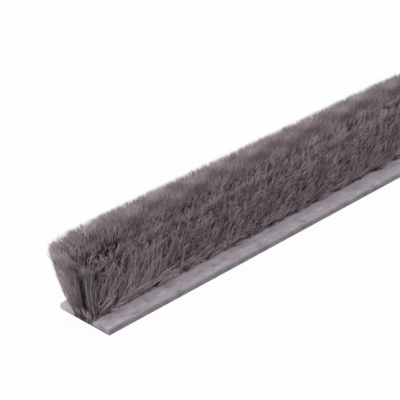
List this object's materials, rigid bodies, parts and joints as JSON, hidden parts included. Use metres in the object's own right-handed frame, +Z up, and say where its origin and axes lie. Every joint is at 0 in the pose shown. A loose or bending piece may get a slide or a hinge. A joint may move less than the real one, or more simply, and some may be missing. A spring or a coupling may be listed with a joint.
{
  "type": "brush seal strip",
  "caption": "Pile weatherstrip: a dense, upright fibre brush standing along the middle of a flat, flexible plastic backing whose free edges slide into a carrier slot.",
  "frame": {"origin": "centre of the backing's underside, halfway along the strip and halfway across it; the base of the bounding box", "axes": "X along the strip, Y across it, Z up from the underside of the backing to the tips of the pile"},
  "size_m": [1.0036, 0.0068, 0.0091],
  "materials": {
    "backing_plastic": "translucent pale lilac-grey polypropylene, softly mottled",
    "pile_fibre": "mauve-grey polypropylene fibre, matt, dense upright pile"
  },
  "bodies": {
    "root": {"backing_strip": "backing_plastic", "pile": "pile_fibre"}
  },
  "joints": []
}
